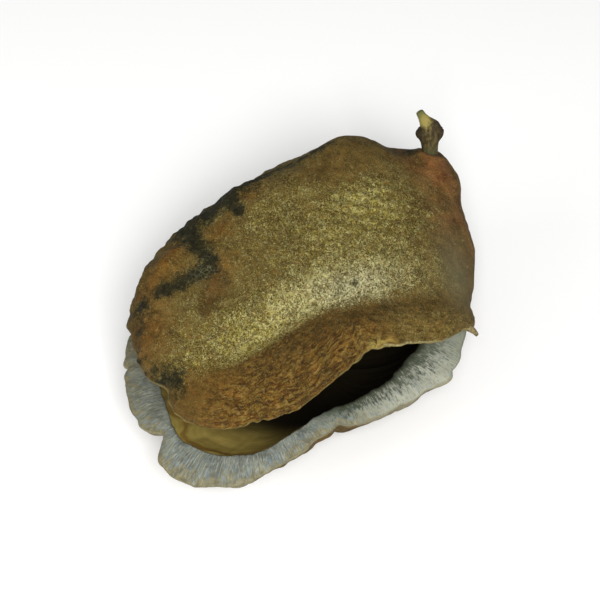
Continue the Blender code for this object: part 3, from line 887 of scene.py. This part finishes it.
def tube(name, stations, sides, steps, shape):
    """A closed mesh tube along a smooth line, its radius changed by a share from shape."""
    stations = np.array(stations, float)
    at = np.linspace(0, len(stations) - 1, steps)
    middle = along_curve(stations[:, :3], at)
    radius = np.interp(at, np.arange(len(stations)), stations[:, 3])
    ways = np.gradient(middle, axis=0)
    ways /= np.linalg.norm(ways, axis=1, keepdims=True)
    side = np.cross(ways, (0.3, 0.9, 0.1))
    side /= np.linalg.norm(side, axis=1, keepdims=True)
    other = np.cross(ways, side)
    angle = np.linspace(0, 2 * math.pi, sides, endpoint=False)
    cos, sin = np.cos(angle)[None, :, None], np.sin(angle)[None, :, None]
    around = cos * side[:, None] + sin * other[:, None]
    size = radius[:, None] * shape(at[:, None], angle[None, :], around)
    rows = middle[:, None] + around * size[:, :, None]
    tube_points = np.concatenate([rows.reshape(-1, 3), middle[:1], middle[-1:]])
    turned = np.arange(sides)
    turned_next = (turned + 1) % sides
    first_end, last_end, last = steps * sides, steps * sides + 1, (steps - 1) * sides
    faces = []
    for row in range(0, last, sides):
        above = row + sides
        wall = (row + turned, row + turned_next, above + turned_next, above + turned)
        faces += np.stack(wall, 1).tolist()
    for i, j in zip(turned.tolist(), turned_next.tolist()):
        faces.append((j, i, first_end))
    for i, j in zip(turned.tolist(), turned_next.tolist()):
        faces.append((last + i, last + j, last_end))
    mesh = bpy.data.meshes.new(name)
    mesh.from_pydata((tube_points * MM).tolist(), [], faces)
    mesh.shade_smooth()
    tag(mesh, "along", np.concatenate([np.repeat(at, sides), at[:1], at[-1:]]) / at[-1])
    made = bpy.data.objects.new(name, mesh)
    bpy.context.scene.collection.objects.link(made)
    return made, around


def ridged(at, angle, around):
    """Five low ridges along the beak, as a share of its radius."""
    return 1 + 0.06 * np.sin(5 * angle + at)


beak, _ = tube("beak", BEAK_LINE, 20, 40, ridged)
horn = Finish("beak_bark")
horn_noise = horn.noise(horn.place(), 0.7, 4, 0.6)
horn_colour = horn.mix(horn.rise(horn_noise, 0.35, 0.65), BEAK_DARK, BEAK_PALE)
horn.feed(base_color=horn_colour, roughness=0.8)
horn.bumps((horn_noise, 0.12))
beak.data.materials.append(horn.material)
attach(beak, "root")
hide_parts("pod")


# ---------------------------------------------------------------------------------------
# The stalk: a short woody neck that swells to a knob with a lobe at each side and ends in
# a pale broken tip. It is grown onto the pod, and here its foot stands in the rind.
# ---------------------------------------------------------------------------------------

STALK_FOOT = np.array(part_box("stalk")[0]) / MM + (2.16, 2.16, 0.9)
# Each station is a point of the middle line, from the foot, and the radius there.
STALK_LINE = (
    (0.0, 0.0, 0.0, 2.2),
    (0.6, 0.6, 2.0, 1.95),
    (1.2, 1.2, 4.0, 1.85),
    (1.7, 1.8, 5.8, 2.1),
    (2.1, 2.2, 7.0, 2.65),
    (2.4, 2.6, 8.3, 2.85),
    (2.5, 3.0, 9.4, 2.35),
    (2.2, 3.9, 10.8, 1.5),
    (1.9, 4.6, 12.0, 1.1),
    (1.7, 5.4, 13.2, 0.9),
)
LOBE_WAY = np.array((0.656, -0.755, 0.0))  # from one lobe of the knob to the other
KNOB_AT, KNOB_SPREAD, LOBE_RISE = 4.6, 1.1, 0.19
BARK_DARK, BARK, BARK_MOSSY = srgb(50, 42, 24), srgb(92, 80, 48), srgb(62, 66, 42)
KNOB_DARK, LOBE_DARK = srgb(44, 36, 22), srgb(38, 30, 20)
TIP_PALE, TIP_END = srgb(136, 124, 68), srgb(96, 96, 54)


def bark(at, angle, around):
    """Lobes at the knob and furrows along the neck, as a share of the stalk's radius."""
    knob = np.exp(-(((at - KNOB_AT) / KNOB_SPREAD) ** 2))
    furrow = 0.03 * np.sin(9 * angle + 0.8 * np.sin(at)) + 0.02 * np.sin(17 * angle - at)
    return 1 + furrow + knob * LOBE_RISE * (2 * (around @ LOBE_WAY) ** 2 - 1)


stalk_stations = [(*(STALK_FOOT + station[:3]), station[3]) for station in STALK_LINE]
stalk, around = tube("stalk_bark", stalk_stations, 56, 120, bark)
tag(stalk.data, "side", np.append((around @ LOBE_WAY).ravel() ** 2, (0, 0)))
husk = Finish("stalk_bark")
rise_along = husk.tagged("along")
bark_noise = husk.noise(husk.scaled(husk.place(), (1, 1, 0.4)), 0.6, 4, 0.6)
bark_colour = husk.mix(husk.rise(bark_noise, 0.3, 0.7), BARK_DARK, BARK)
neck_share = husk.product(husk.rise(rise_along, 0.36, 0.2), husk.rise(bark_noise, 0.3, 0.6))
bark_colour = husk.coat(bark_colour, BARK_MOSSY, neck_share, 0.6)
knob_share = husk.product(husk.rise(rise_along, 0.38, 0.52), husk.rise(bark_noise, 0.65, 0.35))
bark_colour = husk.coat(bark_colour, KNOB_DARK, knob_share, 0.6)
lobe_share = husk.product(husk.tagged("side"), husk.rise(rise_along, 0.3, 0.5))
bark_colour = husk.coat(bark_colour, LOBE_DARK, lobe_share, 0.85)
frayed_along = husk.sum(rise_along, husk.rise(bark_noise, 0.3, 0.7, -0.02, 0.02))
sided_along = husk.sum(frayed_along, husk.product(husk.tagged("side"), -0.07))
bark_colour = husk.coat(bark_colour, TIP_PALE, husk.rise(sided_along, 0.67, 0.8))
bark_colour = husk.coat(bark_colour, TIP_END, husk.rise(frayed_along, 0.88, 0.99))
husk.feed(base_color=bark_colour, roughness=0.8)
husk.shader.inputs["Specular IOR Level"].default_value = 0.15
husk.bumps((bark_noise, 0.2))
stalk.data.materials.append(husk.material)
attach(stalk, "root")
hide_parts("stalk")


# ---------------------------------------------------------------------------------------
# The studio: a pale table, a broad soft light from above the front left, a weaker one from
# behind the left, and the camera looking down on the open side.
# ---------------------------------------------------------------------------------------

TABLE_SIZE = 3.0
PAPER_WHITE, SKY_WHITE, SKY_STRENGTH = (0.86, 0.86, 0.85, 1.0), (1.0, 1.0, 1.0, 1.0), 0.36
half = TABLE_SIZE / 2
table_corners = [(-half, -half, 0), (half, -half, 0), (half, half, 0), (-half, half, 0)]
table_mesh = bpy.data.meshes.new("table")
table_mesh.from_pydata(table_corners, [], [(0, 1, 2, 3)])
table = bpy.data.objects.new("table", table_mesh)
table.location.z = cad_box[0][2]
bpy.context.scene.collection.objects.link(table)
paper = Finish("pale_table")
paper.feed(base_color=PAPER_WHITE, roughness=0.9)
table_mesh.materials.append(paper.material)

world = bpy.data.worlds.new("soft_room")
bpy.context.scene.world = world
world.use_nodes = True
world.node_tree.nodes["Background"].inputs["Color"].default_value = SKY_WHITE
world.node_tree.nodes["Background"].inputs["Strength"].default_value = SKY_STRENGTH
bpy.context.scene.view_settings.view_transform = "Standard"

middle = (Vector(cad_box[0]) + Vector(cad_box[1])) / 2


def soft_light(name, way, distance, size, power):
    """A square lamp that looks at the pod from the given way."""
    lamp = bpy.data.lights.new(name, "AREA")
    lamp.size = size
    lamp.energy = power
    made = bpy.data.objects.new(name, lamp)
    way = Vector(way).normalized()
    made.location = middle + way * distance
    made.rotation_euler = way.to_track_quat("Z", "Y").to_euler()
    bpy.context.scene.collection.objects.link(made)


soft_light("window", (-0.5, -0.55, 0.85), 0.8, 0.35, 8.0)
soft_light("side", (-0.9, 0.45, 0.55), 0.8, 0.5, 2.0)

AZIMUTH, ELEVATION = math.radians(-49), math.radians(52)
CAMERA_DISTANCE = 0.3825
aim = middle + Vector((-0.195, 3.86, 1.66)) * MM
level = math.cos(ELEVATION)
to_camera = Vector((math.sin(AZIMUTH) * level, -math.cos(AZIMUTH) * level, math.sin(ELEVATION)))
camera = bpy.data.objects.new("camera", bpy.data.cameras.new("camera"))
camera.data.lens = 100
camera.data.sensor_width = 36
camera.data.clip_start = 0.01
camera.location = aim + to_camera * CAMERA_DISTANCE
camera.rotation_euler = to_camera.to_track_quat("Z", "Y").to_euler()
bpy.context.scene.collection.objects.link(camera)
bpy.context.scene.camera = camera
